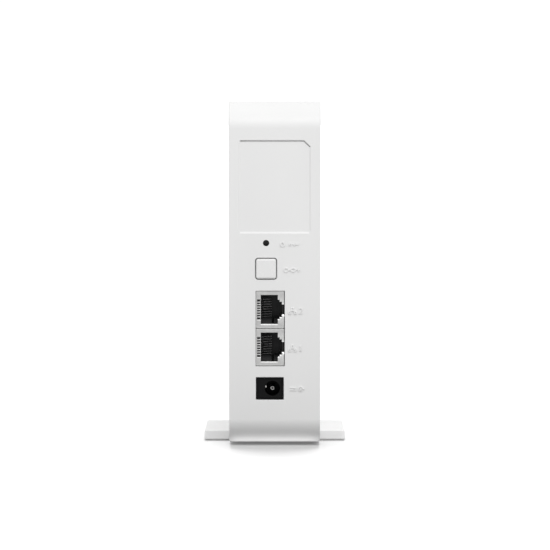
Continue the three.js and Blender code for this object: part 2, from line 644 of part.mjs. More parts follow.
// Places on the board are [y, z]; parts count x from the board's face.
function boardGroup() {
  const onBoard = (name, shape, material, [y, z], lift = 0) => part(name, shape, material, [lift, y, z]);
  const switchX = (at) => at[0] - BOARD.face;
  const screws = BOARD_FIXINGS.map((at, i) =>
    onBoard(`board_screw_${i + 1}`, screw(BOARD_SCREW).rotate([0, -90, 0]), MATERIAL.steel, at, 0.05));
  return group([BOARD.face, 0, 0],
    part("main_board", boardPlate(), MATERIAL.board),
    onBoard("pair_switch", switchBody(switchX(BUTTON.at)), MATERIAL.black, [0, BUTTON.at[1]]),
    onBoard("pair_plunger", switchPlunger(), MATERIAL.steel, [0, BUTTON.at[1]], switchX(BUTTON.at)),
    onBoard("reset_switch", switchBody(switchX(RESET.at)), MATERIAL.black, [0, RESET.at[1]]),
    onBoard("reset_plunger", switchPlunger(), MATERIAL.black, [0, RESET.at[1]], switchX(RESET.at)),
    onBoard("line_transformer_1", chip([12, 13, 5]), MATERIAL.chip, [-14, 41.8]),
    onBoard("line_transformer_2", chip([12, 13, 5]), MATERIAL.chip, [-14, 57.4]),
    onBoard("processor", chip([14, 14, 1.4]), MATERIAL.chip, [10, 80]),
    onBoard("thermal_pad", block([0, 0.6], around(0, 14), around(0, 14)), MATERIAL.pad, [10, 80], 1.45),
    onBoard("heat_sink", heatSink(), MATERIAL.sink, [10, 80], 2.15),
    onBoard("memory_chip", chip([13, 9, 1.2]), MATERIAL.chip, [10, 55]),
    onBoard("flash_chip", chip([8, 6, 1.2]), MATERIAL.chip, [24, 55]),
    onBoard("clock_crystal", chip([3.2, 5, 1]), MATERIAL.can, [-2, 60]),
    onBoard("radio_chip_1", chip([8, 8, 1]), MATERIAL.chip, [8, 113]),
    onBoard("radio_can_1", radioCan(21, 19), MATERIAL.can, [8, 113]),
    onBoard("radio_chip_2", chip([9, 9, 1]), MATERIAL.chip, [-17, 107]),
    onBoard("radio_can_2", radioCan(22, 22), MATERIAL.can, [-17, 107]),
    onBoard("power_choke", choke(7), MATERIAL.chip, [-17, 25.5]),
    onBoard("capacitor_1", capacitor(4, 10), MATERIAL.can, [-6, 25.5]),
    onBoard("capacitor_2", capacitor(3.15, 7.7), MATERIAL.can, [4, 25.5]),
    onBoard("status_led", chip([2.6, 3.2, 1.5]), MATERIAL.lamp, [25.6, LIGHT.z]),
    ...COAX.sockets.map((at, i) => onBoard(`coax_socket_${i + 1}`, coaxSocket(), MATERIAL.gold, at)),
    ...COAX.sockets.map((at, i) => onBoard(`coax_plug_${i + 1}`, coaxPlug(), MATERIAL.gold, at)),
    ...screws,
  );
}

// A lead's line: along its antenna from the fed point, across the housing, and down to its socket's plug.
function leadRoute([feedY, feedZ], [socketY, socketZ], antennaFace) {
  const x = BOARD.face + 2.25;
  const end = socketZ + COAX.plug + 0.15;
  const start = antennaFace - COAX.radius - 0.2;
  return [
    [start, feedY - 4, feedZ],
    [start - 0.3, feedY, feedZ],
    [start - 4, (feedY + socketY) / 2, (feedZ + end) / 2 + 1],
    [(start + x) / 2, socketY, end + 4.5],
    [x + 3, socketY, end + 4.5],
    [x, socketY, end + 2],
    [x, socketY, end],
  ];
}

// Two antennas on the inside of the right panel, each with a lead to its socket.
function antennas() {
  const face = PANEL_FACE - 0.95;
  const feeds = [[14, 130], [31, 88]];
  const leads = feeds.map((feed, i) =>
    part(`antenna_lead_${i + 1}`, coax(leadRoute(feed, COAX.sockets[i], face)), MATERIAL.coax));
  return group([0, 0, 0],
    part("antenna_1", antennaBoard([42, 9]), MATERIAL.copper, [face, 2, 130.5]),
    part("antenna_2", antennaBoard([9, 42]), MATERIAL.copper, [face, 30.5, 70]),
    ...leads,
  );
}

// ---------------------------------------------------------------- assembly

const band = wrapBand();
const node = new THREE.Group();
node.name = "mesh_wifi_node";
node.add(
  part("rear_cover", rearCover(band), MATERIAL.white),
  part("front_cover", frontCover(band), MATERIAL.white),
  part("left_panel", leftPanel(), MATERIAL.white),
  part("right_panel", sidePanel(), MATERIAL.white),
  stand(),
  part("pair_button", buttonCap(), MATERIAL.white, [BUTTON.at[0], BODY.rear, BUTTON.at[1]]),
  ...JACK.z.map((z, i) => jack(i + 1, z)),
  inlet(),
  boardGroup(),
  part("light_pipe", lightPipe(), MATERIAL.lens),
  antennas(),
);

export default node;
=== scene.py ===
"""Looks of the mesh Wi-Fi node: a white upright housing on a cross bar, seen from its port side.

Metres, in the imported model's frame: +Z up, the port panel faces -Y, +X is to the right in the picture.
"""

from math import cos, hypot, pi, radians, sin, tau
from types import SimpleNamespace

import bmesh
import bpy
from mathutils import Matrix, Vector


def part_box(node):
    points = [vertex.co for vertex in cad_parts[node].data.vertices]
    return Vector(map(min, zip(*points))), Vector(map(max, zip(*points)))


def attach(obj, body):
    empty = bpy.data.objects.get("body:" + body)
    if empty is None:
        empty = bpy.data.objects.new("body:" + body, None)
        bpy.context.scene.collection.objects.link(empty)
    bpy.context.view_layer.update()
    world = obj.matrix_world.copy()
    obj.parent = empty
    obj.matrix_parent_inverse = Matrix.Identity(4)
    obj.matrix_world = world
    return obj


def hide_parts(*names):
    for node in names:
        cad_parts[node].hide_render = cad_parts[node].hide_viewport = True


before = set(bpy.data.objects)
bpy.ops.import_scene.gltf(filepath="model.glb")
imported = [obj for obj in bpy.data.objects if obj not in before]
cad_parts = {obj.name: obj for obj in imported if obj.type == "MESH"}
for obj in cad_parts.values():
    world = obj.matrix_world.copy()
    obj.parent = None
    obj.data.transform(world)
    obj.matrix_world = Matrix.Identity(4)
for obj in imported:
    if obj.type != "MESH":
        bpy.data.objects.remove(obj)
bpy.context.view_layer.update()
MM = 0.001


# ---- places, from the frame


def mm(**sizes):
    """Named sizes, given in millimetres."""
    return SimpleNamespace(**{name: size * MM for name, size in sizes.items()})


def middle(node):
    low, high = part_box(node)
    return (low + high) / 2


REAR_LOW, REAR_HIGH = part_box("rear_cover")
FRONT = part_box("front_cover")[1].y
STAND_LOW, STAND_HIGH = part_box("stand_shell")
HALF = REAR_HIGH.x
REAR = REAR_LOW.y
BOTTOM = REAR_LOW.z
TOP = REAR_HIGH.z
SEAM_GAP = 0.12 * MM
SEAM = REAR_HIGH.y + SEAM_GAP / 2
WALL = 2 * MM
CORNER = 14 * MM  # how deep a corner's round is, and how tall
CORNER_RISE = 11 * MM
CHANNEL_HALF = STAND_HIGH.y + 0.3 * MM
CHANNEL_TOP = STAND_HIGH.z + 0.2 * MM
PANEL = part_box("right_panel")[1].x
PANEL_PLAY = 0.15 * MM
PANEL_INSIDE = PANEL - 1.8 * MM
LEDGE = 1.2 * MM
LEDGE_SEAT = PANEL_INSIDE - 0.2 * MM
BITE = 0.5 * MM  # how far a joined solid reaches into its neighbour
EDGE = 0.45 * MM
PAIR = (1, 2)

BUTTON = middle("pair_button")
RESET = middle("reset_plunger")
INLET = middle("inlet_housing")


# ---- outlines


def arc(u, v, radius, start, steps, turn=pi / 2):
    """Points of an arc about (u, v), from the angle start through turn."""
    angles = [start + turn * i / steps for i in range(steps + 1)]
    return [(u + radius * cos(a), v + radius * sin(a)) for a in angles]


def bend(u, v, reach, rise, start, steps=28):
    """A quarter of an ellipse about (u, v), from the angle start on."""
    return [(u + reach * a, v + rise * b) for a, b in arc(0, 0, 1, start, steps)]


def rounded(low, high, radius, steps=8):
    """An upright rectangle with round corners, as a function of how far it is moved inwards."""

    def outline(inset):
        r = max(radius - inset, 0.02 * MM)
        u0, v0 = low[0] + inset, low[1] + inset
        u1, v1 = high[0] - inset, high[1] - inset
        return [
            *arc(u1 - r, v0 + r, r, -pi / 2, steps),
            *arc(u1 - r, v1 - r, r, 0, steps),
            *arc(u0 + r, v1 - r, r, pi / 2, steps),
            *arc(u0 + r, v0 + r, r, pi, steps),
        ]

    return outline


def centred(u, v, width, height, radius, steps=8):
    return rounded((u - width / 2, v - height / 2), (u + width / 2, v + height / 2), radius, steps)


def circle(u, v, radius, steps=48):
    def outline(inset):
        return arc(u, v, radius - inset, 0, steps, tau)[:-1]

    return outline


def side_outline(inset):
    """The housing's side view in (y, z), moved inwards, with the channel that the stand crosses."""
    reach, rise = CORNER - inset, CORNER_RISE - inset
    rear, front = REAR + inset, FRONT - inset
    bottom, top = BOTTOM + inset, TOP - inset
    half, roof = CHANNEL_HALF + inset, CHANNEL_TOP + inset
    return [
        (-half, bottom),
        (-half, roof),
        (half, roof),
        (half, bottom),
        *bend(front - reach, bottom + rise, reach, rise, -pi / 2),
        *bend(front - reach, top - rise, reach, rise, 0),
        *bend(rear + reach, top - rise, reach, rise, pi / 2),
        *bend(rear + reach, bottom + rise, reach, rise, pi),
    ]


# ---- solids

PLACE = {
    "x": lambda u, v, w: (w, u, v),
    "y": lambda u, v, w: (u, w, v),
    "z": lambda u, v, w: (u, v, w),
}


def mesh_object(name, vertices, faces):
    mesh = bpy.data.meshes.new(name)
    mesh.from_pydata(vertices, [], faces)
    shape = bmesh.new()
    shape.from_mesh(mesh)
    bmesh.ops.recalc_face_normals(shape, faces=shape.faces)
    shape.to_mesh(mesh)
    shape.free()
    piece = bpy.data.objects.new(name, mesh)
    bpy.context.scene.collection.objects.link(piece)
    return piece


def loft(rings, closed=False):
    """A solid through rings that have the same number of points, with flat ends or closed to a loop."""
    count, size = len(rings), len(rings[0])
    faces = [] if closed else [list(range(size)), [count * size - 1 - i for i in range(size)]]
    for k in range(count if closed else count - 1):
        n = (k + 1) % count
        for i in range(size):
            j = (i + 1) % size
            faces.append([k * size + i, k * size + j, n * size + j, n * size + i])
    return mesh_object("solid", [point for ring in rings for point in ring], faces)


def sweep(outline, axis, profile):
    """A solid along an axis. The profile lists (place on the axis, inset of the outline)."""
    place = PLACE[axis]
    return loft([[place(u, v, w) for u, v in outline(inset)] for w, inset in profile])


def prism(points, axis, low, high):
    return sweep(lambda inset: points, axis, [(low, 0), (high, 0)])


def quarter(radius, steps=6):
    """Steps of a quarter round, as (depth from the face, inset from the side)."""
    angles = [pi / 2 * i / steps for i in range(steps + 1)]
    return [(radius * (1 - cos(a)), radius * (1 - sin(a))) for a in angles]


def between(low, high, low_round=0, high_round=0, inset=0):
    """A profile from low to high whose ends are rounded or, without a radius, square."""
    start = [(low + d, inset + g) for d, g in quarter(low_round)] if low_round else [(low, inset)]
    end = [(high - d, inset + g) for d, g in quarter(high_round)] if high_round else [(high, inset)]
    return start + end[::-1]


def mouth(face, depth, lip):
    """The profile of a hole that starts at a face, with a rounded lip, and goes to a depth along +."""
    flare = [(face + d, -g) for d, g in quarter(lip)]
    return [(face - MM, -lip), *flare, (face + depth, 0)]


def block(low, high):
    outline = rounded((low[0], low[1]), (high[0], high[1]), 0.02 * MM, 1)
    return sweep(outline, "z", [(low[2], 0), (high[2], 0)])


def rod(axis, centre, radius, low, high, steps=40):
    return sweep(circle(*centre, radius, steps), axis, [(low, 0), (high, 0)])


def turned(axis, centre, profile, steps=40):
    """A round solid; the profile lists (place on the axis, radius) from end to end."""
    return sweep(circle(*centre, 0, steps), axis, [(w, -r) for w, r in profile])


def discard(pieces):
    for piece in pieces:
        mesh = piece.data
        bpy.data.objects.remove(piece)
        bpy.data.meshes.remove(mesh)


def combine(piece, operation, others):
    for other in others:
        step = piece.modifiers.new(operation, "BOOLEAN")
        step.operation = operation
        step.solver = "EXACT"
        step.object = other
    bpy.context.view_layer.update()
    graph = bpy.context.evaluated_depsgraph_get()
    made = bpy.data.meshes.new_from_object(piece.evaluated_get(graph))
    piece.modifiers.clear()
    old, piece.data = piece.data, made
    bpy.data.meshes.remove(old)
    discard(others)
    return piece


def cut(piece, *cutters):
    return combine(piece, "DIFFERENCE", cutters)


def add(piece, *others):
    return combine(piece, "UNION", others)


def together(*solids):
    """Several solids as one object, for pieces that don't touch and for cutters."""
    first = solids[0]
    shape = bmesh.new()
    for piece in solids:
        shape.from_mesh(piece.data)
    shape.to_mesh(first.data)
    shape.free()
    discard(solids[1:])
    return first


def finish(piece, name, material, nodes, body="housing"):
    """Names a finished solid, smooths its rounds, and puts it in place of its CAD nodes."""
    shape = bmesh.new()
    shape.from_mesh(piece.data)
    bmesh.ops.remove_doubles(shape, verts=shape.verts, dist=0.001 * MM)
    bmesh.ops.dissolve_degenerate(shape, edges=shape.edges, dist=0.001 * MM)
    bmesh.ops.recalc_face_normals(shape, faces=shape.faces)
    shape.to_mesh(piece.data)
    shape.free()
    piece.data.shade_smooth()
    piece.data.set_sharp_from_angle(angle=radians(32))
    normals = piece.modifiers.new("normals", "WEIGHTED_NORMAL")
    normals.keep_sharp = True
    piece.name = name
    piece.data.name = name
    piece.data.materials.clear()
    piece.data.materials.append(material)
    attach(piece, body)
    if nodes:
        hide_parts(*nodes)
    return piece


# ---- materials


def with_inputs(node, **values):
    """Sets a shader node's inputs. An underscore in a name stands for a space."""
    for name, value in values.items():
        node.inputs[name.replace("_", " ")].default_value = value
    return node


class Surface:
    """A Principled material that is built up from noise, in the object's own metres."""

    def __init__(self, name, roughness=0.5, metallic=0.0, **constants):
        self.material = bpy.data.materials.new(name)
        self.material.use_nodes = True
        self.nodes = self.material.node_tree.nodes
        self.links = self.material.node_tree.links
        self.shader = self.nodes["Principled BSDF"]
        self.place = self.node("TexCoord").outputs["Object"]
        with_inputs(self.shader, Metallic=metallic, Roughness=roughness, **constants)

    def node(self, kind, **values):
        return with_inputs(self.nodes.new(f"ShaderNode{kind}"), **values)

    def noise(self, size, detail=3.0, roughness=0.55, stretch=(1, 1, 1)):
        """Noise whose features are about size metres across."""
        noise = self.node("TexNoise", Scale=1 / size, Detail=detail, Roughness=roughness)
        mapping = self.node("Mapping", Scale=stretch)
        self.links.new(self.place, mapping.inputs["Vector"])
        self.links.new(mapping.outputs["Vector"], noise.inputs["Vector"])
        return noise.outputs["Fac"]

    def ramp(self, value, low, high, span=(0.3, 0.7)):
        """Turns the values in a span into low to high."""
        spread = self.node("MapRange", From_Min=span[0], From_Max=span[1], To_Min=low, To_Max=high)
        self.links.new(value, spread.inputs["Value"])
        return spread.outputs["Result"]

    def mix(self, factor, first, second):
        mix = self.node("Mix")
        mix.data_type = "RGBA"
        self.links.new(factor, mix.inputs["Factor"])
        for socket, value in (("A", first), ("B", second)):
            target = [i for i in mix.inputs if i.name == socket and i.type == "RGBA"][0]
            if isinstance(value, tuple):
                target.default_value = (*value, 1)
            else:
                self.links.new(value, target)
        return [o for o in mix.outputs if o.type == "RGBA"][0]

    def color(self, value):
        self.links.new(value, self.shader.inputs["Base Color"])

    def rough(self, value):
        self.links.new(value, self.shader.inputs["Roughness"])

    def bump(self, *heights):
        """Bumps one over another, each (height in 0..1, depth in metres). Gives the finished material."""
        normal = None
        for height, depth in heights:
            bump = self.node("Bump", Strength=1, Distance=depth)
            self.links.new(height, bump.inputs["Height"])
            if normal:
                self.links.new(normal, bump.inputs["Normal"])
            normal = bump.outputs["Normal"]
        self.links.new(normal, self.shader.inputs["Normal"])
        return self.material

    def edges(self):
        """How much of an edge a place is: 0 on flats, up to 1 on tight convex edges."""
        return self.ramp(self.node("NewGeometry").outputs["Pointiness"], 0, 1, (0.52, 0.6))


def shade(color, factor):
    return tuple(min(channel * factor, 1) for channel in color)


def moulded(name, color, roughness, grain=0.16 * MM, depth=0.004 * MM, drift=0.015, **constants):
    """Moulded plastic: spark-eroded grain, slight tone from flow lines, and a slightly lighter colour on
    tight convex edges, which is a painted edge highlight.
    """
    made = Surface(name, **constants)
    flow = made.noise(30 * MM, 2, 0.5, (1, 1, 0.4))
    tone = made.mix(made.ramp(flow, 0, 1), shade(color, 1 - drift), shade(color, 1 + drift))
    # Painted highlight: tight convex edges are coloured 2% lighter than the rest.
    made.color(made.mix(made.edges(), tone, shade(color, 1.02)))
    patches = made.noise(4 * MM, 3)
    made.rough(made.ramp(patches, roughness - 0.035, roughness + 0.045))
    fine = made.noise(grain, 2, 0.6)
    waves = made.noise(9 * MM, 1, 0.4)
    return made.bump((waves, depth * 1.5), (fine, depth))


def plated(name, color, roughness, stretch=(1, 1, 0.06), scratch=0.12 * MM, depth=0.003 * MM):
    """Rolled and plated sheet: fine drawn lines, cloudy plating, and tight convex edges coloured much lighter
    as a painted highlight.
    """
    made = Surface(name, metallic=1.0)
    clouds = made.noise(2.2 * MM, 4, 0.6)
    tone = made.mix(made.ramp(clouds, 0, 1), shade(color, 0.9), shade(color, 1.06))
    # Painted highlight: tight convex edges are coloured half again as light as the sheet.
    made.color(made.mix(made.edges(), tone, shade(color, 1.5)))
    lines = made.noise(scratch, 3, 0.7, stretch)
    made.rough(made.ramp(lines, roughness - 0.06, roughness + 0.1))
    return made.bump((lines, depth), (clouds, depth * 2))


def rubber(name, color):
    """Soft rubber with a fine pebbled skin and patches of dust."""
    made = Surface(name)
    pebbles = made.node("TexVoronoi", Scale=1 / (0.55 * MM))
    made.links.new(made.place, pebbles.inputs["Vector"])
    dust = made.noise(6 * MM, 3)
    made.color(made.mix(made.ramp(dust, 0, 1), shade(color, 0.95), shade(color, 1.05)))
    made.rough(made.ramp(dust, 0.66, 0.82))
    return made.bump((pebbles.outputs["Distance"], 0.02 * MM))


def laminate(name, mask, copper):
    """A printed board: solder mask over a pattern of tracks and pours, with a faint weave."""
    made = Surface(name)
    cells = made.node("TexVoronoi", Scale=1 / (3.2 * MM))
    cells.distance = "CHEBYCHEV"
    made.links.new(made.place, cells.inputs["Vector"])
    tracks = made.ramp(cells.outputs["Distance"], 1, 0, (0.3, 0.36))
    made.color(made.mix(tracks, mask, copper))
    weave = made.noise(0.5 * MM, 1, 0.4)
    made.rough(made.ramp(weave, 0.29, 0.42))
    return made.bump((tracks, 0.02 * MM), (weave, 0.004 * MM))


def clear_lens(name, color):
    """Light-coloured moulded lens, partly clear, with a frosted haze."""
    made = Surface(name, Transmission_Weight=0.35, IOR=1.49)
    haze = made.noise(0.8 * MM, 3)
    made.color(made.mix(made.ramp(haze, 0, 1), shade(color, 0.94), shade(color, 1.03)))
    made.rough(made.ramp(haze, 0.28, 0.42))
    return made.bump((haze, 0.003 * MM))


COVER_WHITE = moulded("cover_white", (0.72, 0.72, 0.718), 0.42)
PANEL_WHITE = moulded("panel_white", (0.72, 0.72, 0.717), 0.5, grain=0.3 * MM, depth=0.008 * MM)
STAND_WHITE = moulded("stand_white", (0.87, 0.87, 0.867), 0.4)
BUTTON_WHITE = moulded("button_white", (0.72, 0.72, 0.717), 0.26, depth=0.002 * MM)
MARK_WHITE = moulded("mark_white", (0.73, 0.73, 0.727), 0.36, depth=0.001 * MM)
INSERT_BLACK = moulded("insert_black", (0.021, 0.021, 0.0215), 0.45, depth=0.006 * MM, drift=0.15,
                       Specular_IOR_Level=0.22)
INLET_BLACK = moulded("inlet_black", (0.0045, 0.0045, 0.0048), 0.5, depth=0.006 * MM, drift=0.12,
                      Specular_IOR_Level=0.08)
SWITCH_BLACK = moulded("switch_black", (0.03, 0.03, 0.032), 0.45, drift=0.1)
EPOXY = moulded("chip_epoxy", (0.022, 0.023, 0.025), 0.5, grain=0.1 * MM, depth=0.006 * MM, drift=0.1)
JACKET = moulded("coax_jacket", (0.028, 0.028, 0.028), 0.48, drift=0.1)
TIN = plated("shield_tin", (0.42, 0.42, 0.417), 0.34)
CAN = plated("radio_can_tin", (0.58, 0.58, 0.575), 0.38, stretch=(1, 0.06, 1))
ALUMINIUM = plated("sink_aluminium", (0.6, 0.6, 0.61), 0.42, stretch=(1, 1, 0.04), depth=0.006 * MM)
ZINC = plated("screw_zinc", (0.52, 0.53, 0.55), 0.33, stretch=(1, 1, 1))
NICKEL = plated("pin_nickel", (0.54, 0.535, 0.52), 0.22, stretch=(1, 0.05, 1), depth=0.001 * MM)
CONTACT = plated("contact_alloy", (0.36, 0.36, 0.36), 0.5, stretch=(1, 0.05, 1), depth=0.0005 * MM)
GOLD = plated("socket_gold", (0.72, 0.53, 0.24), 0.26, stretch=(1, 0.05, 1), depth=0.001 * MM)
SOLE = rubber("sole_rubber", (0.74, 0.74, 0.735))
PAD = rubber("thermal_pad", (0.3, 0.38, 0.44))
BOARD_GREEN = laminate("board_mask", (0.012, 0.09, 0.04), (0.03, 0.17, 0.075))
ANTENNA_MASK = laminate("antenna_mask", (0.02, 0.018, 0.016), (0.09, 0.06, 0.035))
LENS = clear_lens("pipe_lens", (0.8, 0.84, 0.86))
LAMP = clear_lens("lamp_body", (0.85, 0.82, 0.6))


# ---- housing

TUBE = mm(hole=1.3, wall=1.4, height=1.6)
CAP = mm(size=8.2, corner=0.85, gap=0.42, round=0.8)
COLLAR = mm(inside=1.45, wall=1, height=2.6)
POST = mm(radius=3.2, height=9.4, hole=1.25, depth=8.4)
PORT_GAP = (0.22 * MM, 0.08 * MM)
BACK_WALL = REAR + WALL


def wrap():
    """The wall round the back, top, front and bottom, with a ledge inside for each side panel."""
    shell = sweep(side_outline, "x", between(-HALF, HALF, EDGE, EDGE))
    seat, deep = -LEDGE_SEAT, WALL + LEDGE
    left = [(-HALF - MM, WALL - EDGE / 2), (-HALF + EDGE / 2, WALL), (seat, WALL), (seat, deep),
            (seat + LEDGE, deep), (seat + LEDGE, WALL)]
    right = [(-x, inset) for x, inset in reversed(left)]
    return cut(shell, sweep(side_outline, "x", left + right))


def seam_groove(side):
    """A V-shaped groove along the seam in the top wall, as the cutter for one cover's edge."""
    reach = 0.3 * MM
    y = SEAM + side * SEAM_GAP / 2
    far = y - side * reach
    return prism([(y, TOP - reach), (y, TOP + MM), (far, TOP + MM), (far, TOP)], "x", -HALF - MM, HALF + MM)


def stand_post(y):
    top = CHANNEL_TOP + POST.height
    return sweep(circle(0, y, POST.radius, 32), "z", between(CHANNEL_TOP + BITE, top, 0, 0.3 * MM))


def screw_hole(y):
    return rod("z", (0, y), POST.hole, 0, CHANNEL_TOP + POST.depth, 24)


def cap_outline(margin, radius):
    size = CAP.size + 2 * margin
    return centred(BUTTON.x, BUTTON.z, size, size, radius)


def collar():
    top = BACK_WALL + COLLAR.height
    inside = COLLAR.inside
    wall = sweep(cap_outline(inside + COLLAR.wall, MM), "y", between(BACK_WALL - BITE, top, 0, 0.2 * MM))
    return cut(wall, sweep(cap_outline(inside, 0.6 * MM), "y", [(BACK_WALL, 0), (top + MM, 0)]))


LABEL = mm(half=14.85, low=88.55, high=126.8, cut=2.75, corner=0.8, depth=0.5, slope=0.72, groove=0.62,
           groove_depth=1.25)


def label_outline(inset):
    """The label field's outline: small corners, and its upper right corner cut at 45 degrees."""
    u0, v0 = -LABEL.half + inset, LABEL.low + inset
    u1, v1 = LABEL.half - inset, LABEL.high - inset
    r = max(LABEL.corner - inset * 0.6, 0.1 * MM)
    slant = LABEL.cut - inset * 0.6
    return [
        *arc(u1 - r, v0 + r, r, -pi / 2, 4),
        (u1, v1 - slant),
        (u1 - slant, v1),
        *arc(u0 + r, v1 - r, r, pi / 2, 4),
        *arc(u0 + r, v0 + r, r, pi, 4),
    ]


def label_field():
    """A shallow field with sloping sides, and a narrow groove along its top and its cut corner."""
    bed, slope = REAR + LABEL.depth, LABEL.slope
    sides = [(REAR - MM, 0), (REAR, 0), (bed - 0.06 * MM, slope - 0.1 * MM), (bed, slope + 0.05 * MM)]
    half, high, slant, width = LABEL.half, LABEL.high, LABEL.cut, LABEL.groove
    top, right, left = high - 0.08 * MM, half - 0.08 * MM, -half + LABEL.corner
    path = [(left, top), (half - slant, top), (right, high - slant), (right - width, high - slant),
            (half - slant - width * 0.4, top - width), (left, top - width)]
    return sweep(label_outline, "y", sides), prism(path, "y", REAR - MM, REAR + LABEL.groove_depth)


def port_opening(low, high, left, right, lip):
    """An opening round a port's box, with its own gaps on the left and on the right."""
    gap, tight = PORT_GAP
    outline = rounded((low.x - left, low.z - gap), (high.x + right, high.z + tight), 0.25 * MM, 4)
    return sweep(outline, "y", mouth(REAR, 2 * WALL, lip))


def rear_cover():
    whole = wrap()
    front_half = block((-2 * HALF, SEAM - SEAM_GAP / 2, -TOP), (2 * HALF, 2 * FRONT, 2 * TOP))
    cut(whole, front_half, seam_groove(-1))
    tube = rod("y", (RESET.x, RESET.z), TUBE.hole + TUBE.wall, BACK_WALL - BITE, BACK_WALL + TUBE.height)
    screw_y = middle("stand_screw_1").y
    add(whole, collar(), tube, stand_post(screw_y))
    shield_low, shield_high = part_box("jack_shield_1")[0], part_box("jack_shield_2")[1]
    inlet_low, inlet_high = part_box("inlet_housing")
    gap, tight = PORT_GAP
    cut(
        whole,
        *label_field(),
        sweep(cap_outline(CAP.gap, CAP.corner + CAP.gap), "y", mouth(REAR, WALL + MM, 0.14 * MM)),
        sweep(circle(RESET.x, RESET.z, TUBE.hole), "y", mouth(REAR, 3 * WALL, 0.12 * MM)),
        port_opening(shield_low, shield_high, tight, gap, 0.12 * MM),
        port_opening(inlet_low, inlet_high, gap, gap, 0.3 * MM),
        screw_hole(screw_y),
    )
    return finish(whole, "rear_cover_shell", COVER_WHITE, ["rear_cover"])


LIGHT_LOW, LIGHT_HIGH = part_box("light_pipe")
LIGHT_HALF = 1 * MM
LIGHT_GAP = 0.15 * MM


def light_outline(margin):
    low = (-LIGHT_HALF - margin, LIGHT_LOW.z - margin)
    high = (LIGHT_HALF + margin, LIGHT_HIGH.z + margin)
    return rounded(low, high, LIGHT_HALF + margin - 0.01 * MM, 12)


def front_cover():
    whole = wrap()
    rear_half = block((-2 * HALF, 2 * REAR, -TOP), (2 * HALF, SEAM + SEAM_GAP / 2, 2 * TOP))
    cut(whole, rear_half, seam_groove(1))
    inner = FRONT - WALL
    rim = sweep(light_outline(LIGHT_GAP + 1.2 * MM), "y", [(inner - 1.5 * MM, 0), (inner + BITE, 0)])
    screw_y = middle("stand_screw_2").y
    add(whole, rim, stand_post(screw_y), *seam_tongues())
    window = [(FRONT - 2 * WALL, 0)] + [(FRONT - d, -g) for d, g in reversed(quarter(0.15 * MM))]
    window.append((FRONT + MM, -0.15 * MM))
    cut(whole, sweep(light_outline(LIGHT_GAP), "y", window), screw_hole(screw_y))
    return finish(whole, "front_cover_shell", COVER_WHITE, ["front_cover"])


def seam_tongues():
    """Tongues that reach under the rear cover's top and bottom walls."""
    half, reach, play, thick = 13 * MM, 4 * MM, 0.15 * MM, 1 * MM
    top = TOP - WALL - play
    low = CHANNEL_TOP + WALL + play
    near = SEAM + BITE
    return [
        block((-half, SEAM - reach, top - thick), (half, SEAM + reach, top)),
        block((-half, near, top - thick / 2), (half, SEAM + reach - 0.1 * MM, top + play + BITE)),
        block((-half, SEAM - reach, low), (half, SEAM + reach, low + thick)),
        block((-half, near, low - play - BITE), (half, SEAM + reach - 0.1 * MM, low + thick / 2)),
    ]


VENT = mm(pitch=3.6, width=1.6, height=12)
VENT_ROWS = (24 * MM, 112 * MM)
VENT_SLOTS = 13
HOOK = mm(thick=1, long=3.6, wide=5, barb=0.8)
HOOK_ROWS = (36 * MM, 71 * MM, 106 * MM)


def vent_cutters(side):
    """Upright slots with round ends and softened lips, in two rows."""
    lip = 0.25 * MM
    flare = [(side * (PANEL - d), -g) for d, g in quarter(lip, 4)]
    profile = [(side * (PANEL + MM), -lip), *flare, (side * (PANEL_INSIDE - MM), 0)]
    first = SEAM - VENT.pitch * (VENT_SLOTS - 1) / 2
    cutters = []
    for row in VENT_ROWS:
        for i in range(VENT_SLOTS):
            outline = centred(first + i * VENT.pitch, row, VENT.width, VENT.height, 0.75 * MM, 6)
            cutters.append(sweep(outline, "x", profile))
    return together(*cutters)


def snap_hooks(side):
    clear = WALL + LEDGE + 0.2 * MM
    tip, root = PANEL_INSIDE - HOOK.long, PANEL_INSIDE + BITE
    under = LEDGE_SEAT - LEDGE - 0.2 * MM
    hooks = []
    for z in HOOK_ROWS:
        for edge, inwards in ((REAR + clear, 1), (FRONT - clear, -1)):
            arm = sorted((edge, edge + inwards * HOOK.thick))
            barb = sorted((edge - inwards * HOOK.barb, edge + inwards * BITE))
            low, high = z - HOOK.wide / 2, z + HOOK.wide / 2
            spread = sorted((side * tip, side * root))
            catch = sorted((side * tip, side * under))
            stem = block((spread[0], arm[0], low), (spread[1], arm[1], high))
            hooks.append(add(stem, block((catch[0], barb[0], low), (catch[1], barb[1], high))))
    return together(*hooks)


def side_panel(side, name, node):
    spread = sorted((side * PANEL_INSIDE, side * PANEL))
    rounds = (0.35 * MM, 0.05 * MM) if side < 0 else (0.05 * MM, 0.35 * MM)
    plate = sweep(side_outline, "x", between(*spread, *rounds, inset=WALL + PANEL_PLAY))
    cut(plate, vent_cutters(side))
    add(plate, snap_hooks(side))
    if side < 0:
        seats = [middle(f"board_screw_{i}") for i in (1, 2, 3, 4)]
        seat_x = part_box("main_board")[0].x - 0.1 * MM
        posts = [rod("x", (at.y, at.z), 3 * MM, spread[0] + BITE, seat_x, 32) for at in seats]
        holes = [rod("x", (at.y, at.z), 1.35 * MM, spread[1] + 0.8 * MM, seat_x + MM, 20) for at in seats]
        add(plate, together(*posts))
        cut(plate, together(*holes))
    return finish(plate, name, PANEL_WHITE, [node])


# ---- stand


